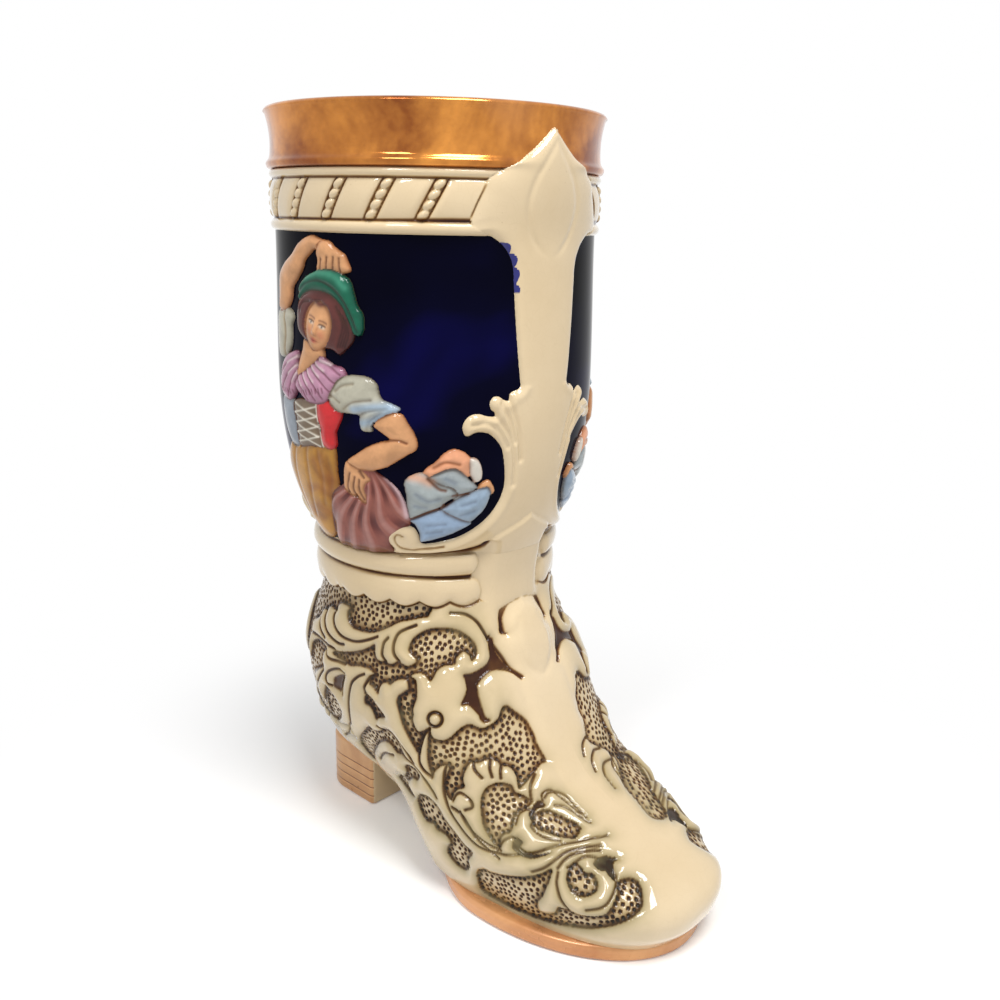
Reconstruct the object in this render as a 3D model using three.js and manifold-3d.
// Boot beer stein
// A drinking vessel of glazed earthenware in the shape of a dress boot: the leg is the bowl and the foot is
// its base. Cast walls carry a lustre lip, sole and heel. Bands, straps, panels, scrolls and a dancer on each
// side are relief pieces pressed in small moulds and stuck on.
// Millimetres, +X towards the toe, +Y to the boot's left, +Z up.

import * as THREE from 'three';
import { mergeVertices } from 'three/addons/utils/BufferGeometryUtils.js';
import loadManifold from 'manifold-3d';

// Heights, stacked from the table up
const SOLE_THICKNESS = 5;
const FOOT_HEIGHT = 80;
const CUFF_HEIGHT = 10;
const ANKLE_RING_HEIGHT = 7.5;
const PANEL_HEIGHT = 87;
const PANEL_FILLET_HEIGHT = 3.3;
const ROPE_HEIGHT = 10.5;
const RIM_FILLET_HEIGHT = 2.7;
const LIP_HEIGHT = 16;

// Walls and the clearance left for the slip between a wall and what is stuck on it
const WALL = 4.5;
const SLIP = 0.3;
const FOOT_SLIP = 0.6;

// Leg: outer radii of the cast wall, how far it takes to swell to its full girth above the ankle, and how much
// it draws in again to the top
const ANKLE_RADIUS = 34.4;
const NECK_RADIUS = 35.8;
const CALF_RADIUS = 45.5;
const CALF_RISE = 47.5;
const CALF_FULLNESS = 2.2;
const TOP_TAPER = 0.6;

// The leg's relief is turned a little to the right of the toe line
const LEG_TURN = -4;

// Lip: how far its rim, its foot and the middle of the hollow between them stand out from the top of the leg
const LIP_RIM_STEP = 3.7;
const LIP_FOOT_STEP = 2.9;
const LIP_HOLLOW_STEP = 2.1;
const LIP_ROUND = 1.4;

// Foot: greatest reach from the leg's axis to the toe and to the heel, and greatest half width
const TOE_REACH = 104;
const HEEL_REACH = 39;
const FOOT_HALF_WIDTH = 37.6;

// Percentages of those at shares of the drop from the ankle to the sole
const FOOT_SECTIONS = [
  { drop: 0.3, toe: 44.4, heel: 98, half: 100 },
  { drop: 0.6, toe: 60.6, heel: 100, half: 94 },
  { drop: 0.72, toe: 79.8, heel: 98.5, half: 90.5 },
  { drop: 0.84, toe: 98.6, heel: 96, half: 87 },
  { drop: 0.92, toe: 100, heel: 94, half: 82.5 },
  { drop: 1, toe: 95.7, heel: 92.3, half: 76 },
];
const FOOT_MIDDLE_SHIFT = 39.4;
const FOOT_FULLNESS = 0.71;
const TOE_SQUARENESS = 0.4;
const HEEL_SQUARENESS = 1;

// Arch and waist: where the arch starts behind the ball, how fast it fades up the side, and the stretch over
// which the foot draws in to its waist, with the share of its half width that it loses at the sole
const BALL_X = 48;
const ARCH_FADE = 2.5;
const WAIST_FRONT = 34;
const WAIST_BACK = 10;
const WAIST_SHARE = 0.46;
const WAIST_FADE = 4;

// Sole and heel
const SOLE_TIP = 102;
const SOLE_REAR = 18;
const SOLE_WIDEST = 52;
const SOLE_HALF_WIDTH = 33.2;
const SOLE_EDGE_ROUND = 1.2;
const SOLE_REAR_THICKNESS = 1.6;
const HEEL_HEIGHT = 19;
const HEEL_BREAST = -12.5;
const HEEL_BACK = -39.5;
const HEEL_HALF_WIDTH = 17.4;
const HEEL_CORNER = 11;
const HEEL_LIFTS = 4;
const HEEL_GROOVE = 0.5;
const HEEL_GROOVE_WIDTH = 0.9;

// Relief heights above the wall, from the slip up
const PANEL_THICKNESS = 1.1;
const STRAP_THICKNESS = 2.3;
const FILLET_THICKNESS = 2.2;
const ROPE_THICKNESS = 2.2;
const ROPE_SWELL = 1.5;
const RING_THICKNESS = 2.4;
const VAMP_THICKNESS = 1;
const BEAD_HEIGHT = 0.7;
const STEM_HEIGHT = 1.2;
const FIGURE_HEIGHT = 1.9;

// Straps, shields and the seam that the pieces beside them keep
const STRAP_HALF_WIDTH = 12.3;
const SHIELD_HALF_WIDTH = 24;
const SHIELD_POINT = 11;
const SHIELD_LAP = 0.9;
const SEAM = 0.4;

// Rope band: slanting bead strings
const STRINGS_A_SIDE = 7;
const STRING_PITCH = 16.4;
const STRING_SLANT = 8;
const BEADS_A_STRING = 4;
const BEAD_RADIUS = 1.25;

// Scalloped cuff
const SCALLOPS_A_SIDE = 10;
const SCALLOP_DEPTH = 1.8;

// Facets
const ROUND_STEPS = 36;
const ARC_STEPS = 12;
const CORNER_STEPS = 4;
const STEM_STEP = 6;

// Levels
const ANKLE = SOLE_THICKNESS + FOOT_HEIGHT;
const CUFF_TOP = ANKLE + CUFF_HEIGHT;
const PANEL_FOOT = CUFF_TOP + ANKLE_RING_HEIGHT;
const PANEL_TOP = PANEL_FOOT + PANEL_HEIGHT;
const ROPE_FOOT = PANEL_TOP + PANEL_FILLET_HEIGHT;
const ROPE_TOP = ROPE_FOOT + ROPE_HEIGHT;
const LIP_FOOT = ROPE_TOP + RIM_FILLET_HEIGHT;
const RIM_TOP = LIP_FOOT + LIP_HEIGHT;
const TOP_RADIUS = CALF_RADIUS - TOP_TAPER;
const RIM_RADIUS = TOP_RADIUS + LIP_RIM_STEP;

// Glazes
const CREAM = { color: 0xd8c7a2, roughness: 0.18, metalness: 0 };
const LUSTRE = { color: 0xc07a3c, roughness: 0.22, metalness: 0.3 };
const COBALT = { color: 0x0c0f3a, roughness: 0.12, metalness: 0 };
const GREEN = { color: 0x1f5a44, roughness: 0.18, metalness: 0 };
const SKIN = { color: 0xd59a6a, roughness: 0.25, metalness: 0 };
const ROSE = { color: 0xa8787c, roughness: 0.25, metalness: 0 };
const WHITE = { color: 0xb9bdb2, roughness: 0.2, metalness: 0 };
const OCHRE = { color: 0xc49a4a, roughness: 0.22, metalness: 0 };
const PLUM = { color: 0x8c5f66, roughness: 0.25, metalness: 0 };
const PALE_BLUE = { color: 0x93a5b5, roughness: 0.2, metalness: 0 };

const radians = THREE.MathUtils.degToRad;
const degrees = THREE.MathUtils.radToDeg;
const mix = THREE.MathUtils.lerp;
const smooth = (share) => THREE.MathUtils.smoothstep(share, 0, 1);
const power = (value, exponent) => Math.sign(value) * Math.abs(value) ** exponent;

const wasm = await loadManifold();
wasm.setup();

// Leg wall

function legRadius(z) {
  if (z <= PANEL_FOOT) {
    return mix(ANKLE_RADIUS, NECK_RADIUS, (z - ANKLE) / (PANEL_FOOT - ANKLE));
  }
  const rise = Math.min((z - PANEL_FOOT) / CALF_RISE, 1);
  const swell = 1 - (1 - rise) ** CALF_FULLNESS;
  const taper = smooth((z - PANEL_FOOT - CALF_RISE) / (PANEL_HEIGHT - CALF_RISE));
  return mix(NECK_RADIUS, CALF_RADIUS, swell) - TOP_TAPER * taper;
}

// A surface gives the point at an angle and height, raised by a lift, and finds the angle and height of a point
const leg = {
  middle: (angle, z) => leg.at(angle, z, 0),
  at(angle, z, lift) {
    const turn = radians(angle + LEG_TURN);
    const radius = legRadius(z) + lift;
    return new THREE.Vector3(radius * Math.cos(turn), radius * Math.sin(turn), z);
  },
  locate: (point) => [degrees(Math.atan2(point.y, point.x)) - LEG_TURN, point.z],
  outward: (point) => new THREE.Vector3(point.x, point.y, 0).normalize(),
};

const PANEL_LIFT = SLIP + PANEL_THICKNESS;
const panel = { ...leg, at: (angle, z, lift) => leg.at(angle, z, lift + PANEL_LIFT) };

// Foot wall: superellipse sections that grow from the round ankle to the long sole

const footRows = [
  { drop: 0, toe: ANKLE_RADIUS, heel: ANKLE_RADIUS, half: ANKLE_RADIUS },
  ...FOOT_SECTIONS.map(({ drop, toe, heel, half }) => ({
    drop,
    toe: (TOE_REACH * toe) / 100,
    heel: (HEEL_REACH * heel) / 100,
    half: (FOOT_HALF_WIDTH * half) / 100,
  })),
];

function footSection(drop) {
  const last = footRows.length - 1;
  const next = Math.min(Math.max(footRows.findIndex((row) => row.drop >= drop), 1), last);
  const from = footRows[next - 1];
  const to = footRows[next];
  const before = footRows[Math.max(next - 2, 0)];
  const after = footRows[Math.min(next + 1, last)];
  const span = to.drop - from.drop;
  const t = (drop - from.drop) / span;
  const value = (key) => {
    const steady = (to[key] - from[key]) / span;
    const start = from === before ? steady : (to[key] - before[key]) / (to.drop - before.drop);
    const end = to === after ? steady : (after[key] - from[key]) / (after.drop - from.drop);
    const bend = t * (1 - t) * span * ((1 - t) * (start - steady) - t * (end - steady));
    return mix(from[key], to[key], t) + bend;
  };
  const swell = FOOT_FULLNESS * 4 * drop * (1 - drop);
  return {
    middle: FOOT_MIDDLE_SHIFT * drop ** 2,
    toe: value('toe'),
    heel: value('heel'),
    half: value('half'),
    front: 2 + TOE_SQUARENESS * drop ** 2 + swell,
    back: 2 + HEEL_SQUARENESS * drop ** 2 + swell,
  };
}

const dropAt = (z) => THREE.MathUtils.clamp((ANKLE - z) / FOOT_HEIGHT, 0, 1);

function archLift(x, drop) {
  return (HEEL_HEIGHT - SOLE_THICKNESS) * smooth((BALL_X - x) / (BALL_X - HEEL_BREAST)) * drop ** ARCH_FADE;
}

// Share of the half width that is left at the waist and the seat of the heel
function waist(x, drop) {
  return 1 - WAIST_SHARE * smooth((WAIST_FRONT - x) / (WAIST_FRONT - WAIST_BACK)) * drop ** WAIST_FADE;
}

const foot = {
  middle(angle, z) {
    const section = footSection(dropAt(z));
    const ahead = Math.cos(radians(angle));
    const exponent = 2 / (ahead >= 0 ? section.front : section.back);
    const reach = ahead >= 0 ? section.toe - section.middle : section.heel + section.middle;
    const x = section.middle + reach * power(ahead, exponent);
    const y = section.half * waist(x, dropAt(z)) * power(Math.sin(radians(angle)), exponent);
    return new THREE.Vector3(x, y, z);
  },
  normal(angle, z) {
    const turn = 0.5;
    const rise = Math.min(0.5, (ANKLE - SOLE_THICKNESS) / 100);
    const round = foot.middle(angle + turn, z).sub(foot.middle(angle - turn, z));
    const up = foot.middle(angle, Math.min(z + rise, ANKLE)).sub(foot.middle(angle, z - rise));
    return round.cross(up).normalize();
  },
  at(angle, z, lift) {
    const point = foot.middle(angle, z).addScaledVector(foot.normal(angle, z), lift);
    point.z += archLift(point.x, dropAt(z));
    return point;
  },
  locate(point) {
    const section = footSection(dropAt(point.z));
    const ahead = point.x - section.middle;
    const reach = ahead >= 0 ? section.toe - section.middle : section.heel + section.middle;
    const exponent = (ahead >= 0 ? section.front : section.back) / 2;
    const across = point.y / (section.half * waist(point.x, dropAt(point.z)));
    return [degrees(Math.atan2(power(across, exponent), power(ahead / reach, exponent))), point.z];
  },
  outward(point) {
    const [angle, z] = foot.locate(point);
    return foot.normal(angle, z);
  },
};

// Solids

// Joins rings of points into one closed solid. Each ring goes out along one side and back along the other, so
// the first and last rings are closed by rungs across.
function loft(rings) {
  const count = rings[0].length;
  const positions = rings.flat().flatMap((point) => [point.x, point.y, point.z]);
  const triangles = [];
  const quad = (a, b, c, d) => triangles.push(a, b, c, a, c, d);
  for (let ring = 0; ring + 1 < rings.length; ring++) {
    for (let i = 0; i < count; i++) {
      const here = ring * count + i;
      const next = ring * count + ((i + 1) % count);
      quad(here, next, next + count, here + count);
    }
  }
  const end = (rings.length - 1) * count;
  for (let i = 0; i + 1 < count / 2; i++) {
    quad(i, count - 1 - i, count - 2 - i, i + 1);
    quad(end + i, end + i + 1, end + count - 2 - i, end + count - 1 - i);
  }
  return closedGeometry(positions, triangles);
}

// A geometry from points and triangles, turned so that its faces point out
function closedGeometry(positions, triangles) {
  const corner = (index) => new THREE.Vector3().fromArray(positions, triangles[index] * 3);
  let volume = 0;
  for (let i = 0; i < triangles.length; i += 3) {
    volume += corner(i).dot(corner(i + 1).cross(corner(i + 2)));
  }
  const index = volume > 0 ? triangles : triangles.toReversed();
  const geometry = new THREE.BufferGeometry();
  geometry.setAttribute('position', new THREE.Float32BufferAttribute(positions, 3));
  geometry.setIndex(index);
  return geometry;
}

// A ring across a relief piece: along its seat and back over its face
function reliefRing(divisions, place, rise) {
  const seat = [];
  const face = [];
  for (let i = 0; i <= divisions; i++) {
    const across = (2 * i) / divisions - 1;
    seat.push(place(across, 0));
    face.unshift(place(across, rise(across)));
  }
  return [...seat, ...face];
}

// Rounded relief that follows a path over a surface, such as a stem, petal or sleeve
function stem(surface, path, widths, height, seat) {
  const curve = new THREE.CatmullRomCurve3(path.map(([angle, z]) => surface.middle(angle, z)));
  const length = curve.getLength();
  const steps = Math.max(3, Math.round(length / STEM_STEP));
  const divisions = Math.max(...widths) > 4.5 ? 4 : 2;
  const rings = [];
  for (let i = 0; i <= steps; i++) {
    const share = i / steps;
    const middle = curve.getPointAt(share);
    const side = surface.outward(middle).cross(curve.getTangentAt(share)).normalize();
    const knot = share * (widths.length - 1);
    const low = Math.min(Math.floor(knot), widths.length - 2);
    const half = mix(widths[low], widths[low + 1], knot - low);
    const ending = Math.min(1, (Math.min(share, 1 - share) * length) / half);
    const round = Math.sqrt(1 - 0.85 * (1 - ending) ** 2);
    const place = (across, lift) => {
      const point = middle.clone().addScaledVector(side, across * half * round);
      return surface.at(...surface.locate(point), seat + lift);
    };
    const rise = (across) => height * round * (0.3 + 0.7 * Math.sqrt(1 - across ** 2));
    rings.push(reliefRing(divisions, place, rise));
  }
  return loft(rings);
}

// Relief between two angles at each of a list of heights
function patch(surface, rows, divisions, thickness, seat = () => SLIP) {
  return loft(
    rows.map(([z, from, to]) =>
      reliefRing(
        divisions,
        (across, lift) => surface.at(mix(from, to, (across + 1) / 2), z, seat(z) + lift),
        () => (typeof thickness === 'function' ? thickness(z) : thickness),
      ),
    ),
  );
}

// Relief ring on part of the leg, between a lower and an upper edge that may change with the angle
function band(from, to, steps, low, high, divisions, rise) {
  const rings = [];
  for (let i = 0; i <= steps; i++) {
    const angle = mix(from, to, i / steps);
    const place = (across, lift) => leg.at(angle, mix(low(angle), high(angle), (across + 1) / 2), SLIP + lift);
    rings.push(reliefRing(divisions, place, rise));
  }
  return loft(rings);
}

// A closed profile of [radius, height] turned round the leg's axis
function revolved(profile) {
  const outline = [...profile, profile[0]].map(([radius, z]) => new THREE.Vector2(radius, z));
  const geometry = new THREE.LatheGeometry(outline, ROUND_STEPS, Math.PI / ROUND_STEPS);
  return geometry.rotateX(Math.PI / 2);
}

function toManifold(geometry) {
  const bare = new THREE.BufferGeometry();
  bare.setAttribute('position', geometry.getAttribute('position'));
  bare.setIndex(geometry.index);
  const merged = mergeVertices(bare, 1e-4);
  return new wasm.Manifold(
    new wasm.Mesh({
      numProp: 3,
      vertProperties: new Float32Array(merged.getAttribute('position').array),
      triVerts: new Uint32Array(merged.index.array),
    }),
  );
}

function joined(geometries) {
  const solid = geometries.map(toManifold).reduce((whole, piece) => whole.add(piece));
  const mesh = solid.getMesh();
  const geometry = new THREE.BufferGeometry();
  geometry.setAttribute('position', new THREE.Float32BufferAttribute(mesh.vertProperties, 3));
  geometry.setIndex([...mesh.triVerts]);
  return geometry;
}

const boot = new THREE.Group();

function add(name, geometry, glaze) {
  const mesh = new THREE.Mesh(geometry, new THREE.MeshStandardMaterial(glaze));
  mesh.name = name;
  boot.add(mesh);
}

// Cast walls

// Heights at which the leg's outline and everything stuck on it bend together
const CALF_LEVELS = [0.2, 0.4, 0.65, 1].map((share) => PANEL_FOOT + CALF_RISE * share);
const LEG_LEVELS = [...CALF_LEVELS, (PANEL_FOOT + CALF_RISE + PANEL_TOP) / 2];

function legWall() {
  const heights = [ANKLE, CUFF_TOP, PANEL_FOOT, ...LEG_LEVELS, PANEL_TOP, LIP_FOOT];
  const outside = heights.map((z) => [legRadius(z), z]);
  const hollowHeights = [LIP_FOOT, CALF_LEVELS[3], CALF_LEVELS[1], PANEL_FOOT, ANKLE];
  const inside = hollowHeights.map((z) => [legRadius(z) - WALL, z]);
  return revolved([...outside, ...inside]);
}

// Shares of the drop from ankle to sole at which the foot has rings, outside and in its hollow
const FOOT_RINGS = [0, 0.12, 0.24, 0.36, 0.48, 0.54, 0.6, 0.66, 0.72, 0.78, 0.84, 0.92, 1];
const HOLLOW_RINGS = [0.92, 0.84, 0.72, 0.6, 0.36, 0.12];

// Rings from the floor of the hollow up to the ankle, and down the outside to the sole
function footWall() {
  const angles = Array.from({ length: ROUND_STEPS }, (_, i) => ((i + 0.5) * 360) / ROUND_STEPS);
  const ring = (drop, lift) => angles.map((angle) => foot.at(angle, ANKLE - FOOT_HEIGHT * drop, lift));
  const neck = angles.map((angle) => {
    const turn = radians(angle);
    const radius = ANKLE_RADIUS - WALL;
    return new THREE.Vector3(radius * Math.cos(turn), radius * Math.sin(turn), ANKLE);
  });
  const inside = HOLLOW_RINGS.map((drop) => ring(drop, -WALL));
  const outside = FOOT_RINGS.map((drop) => ring(drop, 0));
  return loft([...inside, neck, ...outside]);
}

const underside = (x) => SOLE_THICKNESS + archLift(x, 1);

// Outline of the sole: two half ellipses, inset all round
function soleOutline(inset) {
  return Array.from({ length: ROUND_STEPS }, (_, i) => {
    const turn = ((i + 0.5) * 2 * Math.PI) / ROUND_STEPS;
    const reach = Math.cos(turn) >= 0 ? SOLE_TIP - SOLE_WIDEST : SOLE_WIDEST - SOLE_REAR;
    const x = SOLE_WIDEST + (reach - inset) * Math.cos(turn);
    return [x, (SOLE_HALF_WIDTH - inset) * Math.sin(turn)];
  });
}

// The sole follows the foot's underside and thins towards the arch
function sole() {
  const top = (x) => underside(x) - SLIP;
  const bottom = (x) => {
    const rear = smooth((BALL_X - x) / (BALL_X - SOLE_REAR));
    return Math.max(0, mix(0, top(x) - SOLE_REAR_THICKNESS, rear));
  };
  const ring = (share, inset) =>
    soleOutline(inset).map(([x, y]) => new THREE.Vector3(x, y, mix(bottom(x), top(x), share)));
  const edge = SOLE_EDGE_ROUND / SOLE_THICKNESS;
  return loft([
    ring(0, SOLE_EDGE_ROUND),
    ring(edge, 0),
    ring(1 - edge, 0),
    ring(1, SOLE_EDGE_ROUND),
  ]);
}

// Outline of the heel: a straight breast and round back corners
function heelOutline(inset) {
  const half = HEEL_HALF_WIDTH - inset;
  const breast = HEEL_BREAST - inset;
  const corner = HEEL_CORNER - inset;
  const back = HEEL_BACK + HEEL_CORNER;
  const right = [[breast, -half]];
  for (let i = 0; i <= CORNER_STEPS; i++) {
    const turn = (Math.PI / 2) * (i / CORNER_STEPS);
    const x = back - corner * Math.sin(turn);
    right.push([x, -(half - corner) - corner * Math.cos(turn)]);
  }
  const left = right.map(([x, y]) => [x, -y]).reverse();
  return [...right, ...left];
}

function heelBlock() {
  const top = HEEL_HEIGHT - SLIP;
  const ring = (z, inset) => heelOutline(inset).map(([x, y]) => new THREE.Vector3(x, y, z));
  const rings = [ring(0, HEEL_GROOVE), ring(HEEL_GROOVE_WIDTH, 0)];
  for (let lift = 1; lift < HEEL_LIFTS; lift++) {
    const z = (top * lift) / HEEL_LIFTS;
    rings.push(ring(z - HEEL_GROOVE_WIDTH / 2, 0), ring(z, HEEL_GROOVE), ring(z + HEEL_GROOVE_WIDTH / 2, 0));
  }
  return loft([...rings, ring(top, 0)]);
}

const lipOuter = (z) => {
  const share = (z - LIP_FOOT) / LIP_HEIGHT;
  const straight = mix(LIP_FOOT_STEP, LIP_RIM_STEP, share);
  const hollow = (LIP_FOOT_STEP + LIP_RIM_STEP) / 2 - LIP_HOLLOW_STEP;
  return TOP_RADIUS + straight - hollow * Math.sin(Math.PI * share) ** 0.8;
};

function lip() {
  const neck = legRadius(LIP_FOOT) - WALL;
  const shoulder = RIM_TOP - LIP_ROUND;
  const outside = [0, 0.25, 0.5, 0.8].map((share) => {
    const z = mix(LIP_FOOT, shoulder, share);
    return [lipOuter(z), z];
  });
  return revolved([
    [neck, LIP_FOOT],
    ...outside,
    [RIM_RADIUS, shoulder],
    [RIM_RADIUS - LIP_ROUND, RIM_TOP],
    [RIM_RADIUS - WALL + LIP_ROUND, RIM_TOP],
    [RIM_RADIUS - WALL, shoulder],
  ]);
}

add('shaft_wall', legWall(), CREAM);
add('foot_wall', footWall(), CREAM);
add('rim_band', lip(), LUSTRE);
add('sole', sole(), LUSTRE);
add('heel_block', heelBlock(), LUSTRE);

// Straps and shields at the front and back

const angleFor = (width, z) => degrees(width / legRadius(z));

function strap(middle) {
  const heights = [ANKLE + SEAM, CUFF_TOP, PANEL_FOOT, ...LEG_LEVELS, PANEL_TOP - SEAM];
  const rows = heights.map((z) => {
    const half = angleFor(STRAP_HALF_WIDTH, z);
    return [z, middle - half, middle + half];
  });
  return patch(leg, rows, 4, STRAP_THICKNESS);
}

// The shield covers the ends of the bands and its ogee point laps over the lip
function shield(middle) {
  const lapped = LIP_FOOT - SLIP;
  const onLip = (z) => lipOuter(Math.max(z, LIP_FOOT)) - legRadius(z) + SLIP;
  const seat = (z) => (z < lapped ? SLIP : onLip(z));
  const face = onLip(LIP_FOOT) + SHIELD_LAP;
  const thickness = (z) => Math.max(face, onLip(z) + SHIELD_LAP) - seat(z);
  const half = (z) => {
    if (z < ROPE_TOP) {
      return SHIELD_HALF_WIDTH;
    }
    const share = (z - ROPE_TOP) / (LIP_FOOT + SHIELD_POINT - ROPE_TOP);
    return Math.max(SEAM, SHIELD_HALF_WIDTH * (1 - share) ** 1.4);
  };
  const rise = [0.15, 0.35, 0.6, 0.8, 1].map((share) => LIP_FOOT + SHIELD_POINT * share);
  const heights = [PANEL_TOP, ROPE_FOOT, (ROPE_FOOT + ROPE_TOP) / 2, ROPE_TOP, lapped - SLIP, lapped, ...rise];
  const rows = heights.map((z) => [z, middle - angleFor(half(z), z), middle + angleFor(half(z), z)]);
  return patch(leg, rows, 6, thickness, seat);
}

add('front_strap', strap(0), CREAM);
add('back_strap', strap(180), CREAM);
add('front_shield', shield(0), CREAM);
add('back_shield', shield(180), CREAM);

// Instep: the plain vamp runs into the toe, and the tongue stands above it

// Half angles of their edges at percentages of the foot's height
const VAMP_EDGE = [[1.5, 42], [8, 35], [16, 25], [22, 19], [28, 13], [34, 10], [50, 10], [77, 12.5]];
const VAMP_LEVELS = [1.5, 4.5, 8, 12, 16, 19, 22, 25, 28, 34, 40, 46, 52, 60, 77];
const TONGUE_EDGE = [[78, 12.5], [81, 17], [86, 17.5], [89.5, 13.5], [92.5, 13.5], [96, 10.5], [99, 4.5]];

const footHeight = (percent) => SOLE_THICKNESS + (FOOT_HEIGHT * percent) / 100;
const panelHeight = (percent) => PANEL_FOOT + (PANEL_HEIGHT * percent) / 100;

function edgeAt(edge, percent) {
  const next = Math.max(edge.findIndex(([level]) => level >= percent), 1);
  const [low, from] = edge[next - 1];
  const [high, to] = edge[next];
  return mix(from, to, (percent - low) / (high - low));
}

function vamp() {
  const rows = VAMP_LEVELS.map((level) => {
    const half = edgeAt(VAMP_EDGE, level);
    return [footHeight(level), -half, half];
  });
  return patch(foot, rows, 8, VAMP_THICKNESS, () => FOOT_SLIP);
}

function tongue() {
  const rows = TONGUE_EDGE.map(([level, half]) => [footHeight(level), -half, half]);
  return patch(foot, rows, 4, VAMP_THICKNESS + SHIELD_LAP, () => FOOT_SLIP);
}

add('vamp', vamp(), CREAM);
add('tongue', tongue(), CREAM);

// Rings, panels and ornament on each side

const bulge = (across) => Math.sqrt(1 - (0.9 * across) ** 2);

function ringEnds(side, halfWidth, z) {
  const end = angleFor(halfWidth + SEAM, z);
  return [side * end, side * (180 - end)];
}

function plainRing(side, low, high, halfWidth, thickness) {
  const [from, to] = ringEnds(side, halfWidth, (low + high) / 2);
  return band(from, to, ARC_STEPS, () => low, () => high, 2, (across) => thickness * bulge(across));
}

function ropeBand(side) {
  const low = ROPE_FOOT + SEAM;
  const high = ROPE_TOP - SEAM;
  const [from, to] = ringEnds(side, SHIELD_HALF_WIDTH, (low + high) / 2);
  const rise = (across) => ROPE_THICKNESS + ROPE_SWELL * (1 - across ** 2);
  const cushion = band(from, to, ARC_STEPS, () => low, () => high, 3, rise);
  const strings = [];
  for (let i = 0; i < STRINGS_A_SIDE; i++) {
    const middle = side * (90 + (i - (STRINGS_A_SIDE - 1) / 2) * STRING_PITCH);
    strings.push(beadString(middle, middle - side * STRING_SLANT, low + BEAD_RADIUS, high - BEAD_RADIUS, rise));
  }
  return joined([cushion, ...strings]);
}

// Beads in a row across the band, from its lower edge to its upper one
function beadString(from, to, low, high, rise) {
  const rings = [];
  const steps = BEADS_A_STRING * 2;
  const middle = (low + high) / 2;
  const reach = (high - low) / 2;
  for (let i = 0; i <= steps; i++) {
    const share = i / steps;
    const z = mix(low, high, share);
    const full = i % 2 === 1 ? 1 : 0.55;
    const half = angleFor(BEAD_RADIUS * full, z);
    const ground = SLIP + rise((z - middle) / (reach + BEAD_RADIUS)) - 0.6;
    const angle = mix(from, to, share);
    const place = (across, lift) => leg.at(angle + across * half, z, ground + lift);
    const dome = (across) => 0.6 + BEAD_HEIGHT * full * (1 - 0.6 * across ** 2);
    rings.push(reliefRing(2, place, dome));
  }
  return loft(rings);
}

function cuffRing(side) {
  const high = CUFF_TOP - SEAM;
  const [from, to] = ringEnds(side, STRAP_HALF_WIDTH, (ANKLE + high) / 2);
  const arc = Math.abs(to - from) / SCALLOPS_A_SIDE;
  const low = (angle) => {
    const wave = Math.abs(Math.sin((Math.PI * (angle - from)) / arc));
    return ANKLE + SEAM + SCALLOP_DEPTH * (1 - wave);
  };
  const rise = (across) => RING_THICKNESS * bulge(across);
  return band(from, to, SCALLOPS_A_SIDE * 3, low, () => high, 2, rise);
}

function sidePanel(side) {
  const heights = [PANEL_FOOT + SEAM, ...LEG_LEVELS, PANEL_TOP - SEAM];
  const rows = heights.map((z) => {
    const end = angleFor(STRAP_HALF_WIDTH + SEAM, z);
    return [z, side * end, side * (180 - end)];
  });
  return patch(leg, rows, 14, PANEL_THICKNESS);
}

// Ornament is drawn in its own field, the panel or the foot: places are [degrees from the toe line, percentage
// of the field's height], and half widths along a stroke are percentages of that height too
const panelField = { surface: panel, height: panelHeight, unit: PANEL_HEIGHT / 100, seat: SLIP };
const footField = { surface: foot, height: footHeight, unit: FOOT_HEIGHT / 100, seat: FOOT_SLIP };

function sprig(field, side, strokes, height) {
  const stems = strokes.map(({ path, widths }) => {
    const places = path.map(([angle, percent]) => [side * angle, field.height(percent)]);
    const halfWidths = widths.map((width) => width * field.unit);
    return stem(field.surface, places, halfWidths, height, field.seat);
  });
  return stems.length === 1 ? stems[0] : joined(stems);
}

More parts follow.
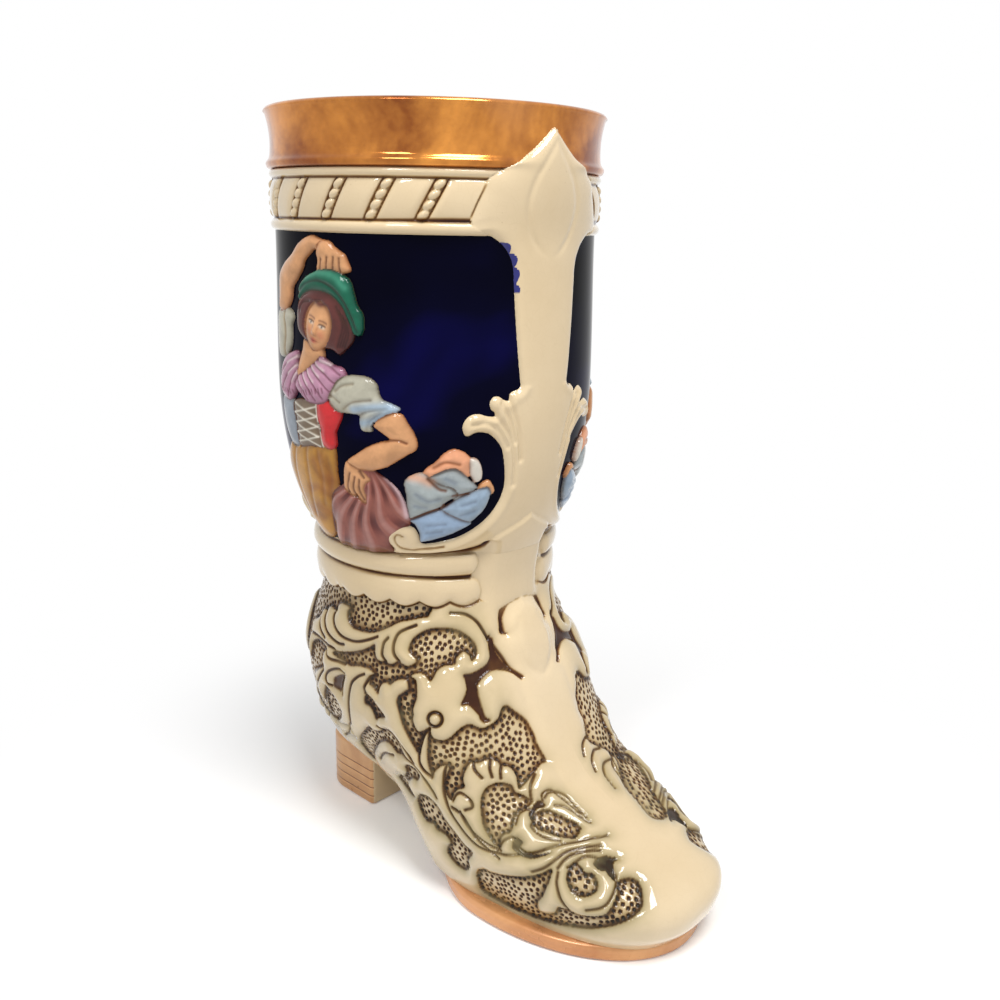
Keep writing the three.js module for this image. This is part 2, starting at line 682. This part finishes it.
// Ornament on the panels: leaf fingers, the scroll below, a dancer and a seated companion
const PANEL_ORNAMENT = {
  acanthus: { glaze: CREAM, height: STEM_HEIGHT, strokes: [
    { path: [[19, 29.5], [20.5, 38.5], [25, 45], [30, 45], [31, 41.5]], widths: [2.1, 2.8, 2.5] },
    { path: [[19, 37.5], [20, 45.5], [23.5, 50.5], [26, 49]], widths: [2.1, 2.5, 2.1] },
  ] },
  panel_scroll: { glaze: CREAM, height: STEM_HEIGHT, strokes: [
    {
      path: [[19.5, 19.5], [25, 12], [37.5, 6], [49, 3.5], [57, 5], [58, 10], [53.5, 11.5], [50, 9]],
      widths: [2, 2.2, 2.1, 1.6],
    },
  ] },
  dancer_cap: { glaze: GREEN, height: FIGURE_HEIGHT, strokes: [
    { path: [[90, 80.5], [85, 85.5], [78, 86.5], [71.5, 84], [67, 77], [65, 71.5]], widths: [2.3, 2.8, 2.1] },
  ] },
  dancer_head: { glaze: SKIN, height: FIGURE_HEIGHT, strokes: [
    { path: [[80.5, 81.5], [80.5, 73], [81.5, 64.5]], widths: [5.2, 7.1, 3.9] },
  ] },
  dancer_raised_arm: { glaze: SKIN, height: FIGURE_HEIGHT, strokes: [
    { path: [[101, 66], [101.5, 77.5], [100, 87], [93, 93], [86, 95.5], [78, 94.5], [73, 92]],
      widths: [3, 2.5, 2.5, 2.1] },
  ] },
  dancer_bodice: { glaze: ROSE, height: FIGURE_HEIGHT, strokes: [
    { path: [[87, 62], [87, 47.5], [87.5, 33]], widths: [6.9, 13.8, 10.9, 9.2] },
  ] },
  dancer_sleeve: { glaze: WHITE, height: FIGURE_HEIGHT, strokes: [
    { path: [[69, 54], [62, 51], [53.5, 48]], widths: [3.9, 5.1, 2.1] },
  ] },
  dancer_forearm: { glaze: SKIN, height: FIGURE_HEIGHT, strokes: [
    { path: [[58, 43], [51, 42.5], [48.5, 38.5], [53, 35], [62, 33], [69, 30], [70, 26]],
      widths: [2.3, 2.5, 2.3, 2.1] },
  ] },
  dancer_apron: { glaze: OCHRE, height: FIGURE_HEIGHT, strokes: [
    { path: [[94, 30.5], [94, 18], [97, 3]], widths: [10.3, 10.3, 6.9] },
  ] },
  dancer_skirt: { glaze: PLUM, height: FIGURE_HEIGHT, strokes: [
    { path: [[69, 23], [70, 13], [75, 3]], widths: [5.2, 8, 8] },
  ] },
  companion: { glaze: PALE_BLUE, height: FIGURE_HEIGHT, strokes: [
    { path: [[48, 18.5], [36, 18], [24, 21.5]], widths: [5.7, 7.6, 3.9] },
    { path: [[44, 24], [35, 26], [27, 25]], widths: [3, 3.4, 2.8] },
  ] },
};

// Ornament on the foot: scrolls, a tulip with its leaf spray, and volutes at the instep and toe
const FOOT_ORNAMENT = {
  ankle_scroll: [
    {
      path: [[88, 94.5], [90.5, 89.5], [85, 85], [70, 88], [54, 93], [39, 95], [28, 92.5], [23.5, 86],
        [26, 80.5], [32.5, 80]],
      widths: [2.2, 2.5, 2.5, 2.2, 1.7],
    },
    { path: [[53, 92.5], [62, 88], [71, 80.5]], widths: [1.9, 2.3] },
    { path: [[53, 92.5], [57, 87.5], [60, 80.5]], widths: [1.9, 2.3] },
  ],
  tulip: [
    { path: [[58.5, 74.5], [58.5, 66], [57, 57.5]], widths: [2, 3.1, 2.5] },
    { path: [[41.5, 77], [44, 71], [50, 64.5], [57, 57.5]], widths: [2.5, 3.5, 3] },
    { path: [[34, 63.5], [41, 62], [50, 59.5], [57, 57.5]], widths: [2, 2.9, 2.5] },
    { path: [[56, 59], [63, 51], [72, 45]], widths: [2, 2.3] },
    { path: [[72, 45], [76.5, 56], [76.5, 69]], widths: [2, 2.5, 2] },
    { path: [[72, 45], [70.5, 57.5], [67.5, 69.5]], widths: [2, 2.5, 2] },
    { path: [[72, 45], [83, 55], [84, 65]], widths: [2, 2.5, 2] },
  ],
  heel_leaf: [
    { path: [[100, 36], [94, 54], [88.5, 71]], widths: [2.2, 2.8, 2.5] },
    { path: [[100, 36], [104, 51], [101, 66]], widths: [2.2, 2.8, 2.5] },
    {
      path: [[100, 36], [115, 32], [137, 34], [153, 42.5], [152.5, 55], [140, 65], [133, 76], [140, 86]],
      widths: [2.2, 2.8, 2.8, 2.2],
    },
    { path: [[137, 34], [163, 31], [176, 40], [177, 55], [173, 69], [160, 76], [151, 71]], widths: [2.2, 2.9, 2.5, 2.1] },
    { path: [[173, 69], [176, 81], [167, 90.5], [154, 91]], widths: [2.1, 2.6, 2.1] },
  ],
  lower_stem: [
    { path: [[75, 39], [75.5, 31], [69, 24.5], [55, 24], [37, 27.5], [20, 29]], widths: [2, 2.8, 2.8, 2] },
    { path: [[29, 42.5], [33, 45.5], [41, 45], [50, 40.5], [60, 33], [65, 25.5]], widths: [2, 2.5, 2.2] },
    { path: [[57, 47.5], [63, 42], [68, 35], [73.5, 28.5]], widths: [2, 2.3] },
  ],
  instep_volute: [
    { path: [[18, 76], [23, 75.5], [27, 71], [26.5, 66], [21.5, 64.5], [18.5, 68]], widths: [1.7, 2, 1.5] },
  ],
  toe_volute: [
    { path: [[29, 23], [40, 22.5], [49, 18.5], [50, 12.5], [43, 10], [37, 13]], widths: [1.9, 2.5, 1.9] },
  ],
};

for (const [word, side] of [['right', -1], ['left', 1]]) {
  const named = (piece) => `${piece}_${word}`;
  const fillet = plainRing(side, LIP_FOOT - RIM_FILLET_HEIGHT, LIP_FOOT - SEAM, SHIELD_HALF_WIDTH, FILLET_THICKNESS);
  add(named('rim_fillet'), fillet, CREAM);
  add(named('rope_band'), ropeBand(side), CREAM);
  add(
    named('panel_fillet'),
    plainRing(side, PANEL_TOP, ROPE_FOOT, SHIELD_HALF_WIDTH, FILLET_THICKNESS),
    CREAM,
  );
  add(
    named('ankle_ring'),
    plainRing(side, CUFF_TOP, PANEL_FOOT, STRAP_HALF_WIDTH, RING_THICKNESS),
    CREAM,
  );
  add(named('cuff_ring'), cuffRing(side), CREAM);
  add(named('panel'), sidePanel(side), COBALT);
  for (const [piece, { glaze, height, strokes }] of Object.entries(PANEL_ORNAMENT)) {
    add(named(piece), sprig(panelField, side, strokes, height), glaze);
  }
  for (const [piece, strokes] of Object.entries(FOOT_ORNAMENT)) {
    add(named(piece), sprig(footField, side, strokes, STEM_HEIGHT), CREAM);
  }
}

// The origin is on the table, under the middle of the boot
const stein = new THREE.Group();
const box = new THREE.Box3().setFromObject(boot);
boot.position.set(-(box.min.x + box.max.x) / 2, -(box.min.y + box.max.y) / 2, -box.min.z);
stein.add(boot);
stein.updateMatrixWorld(true);

export default stein;
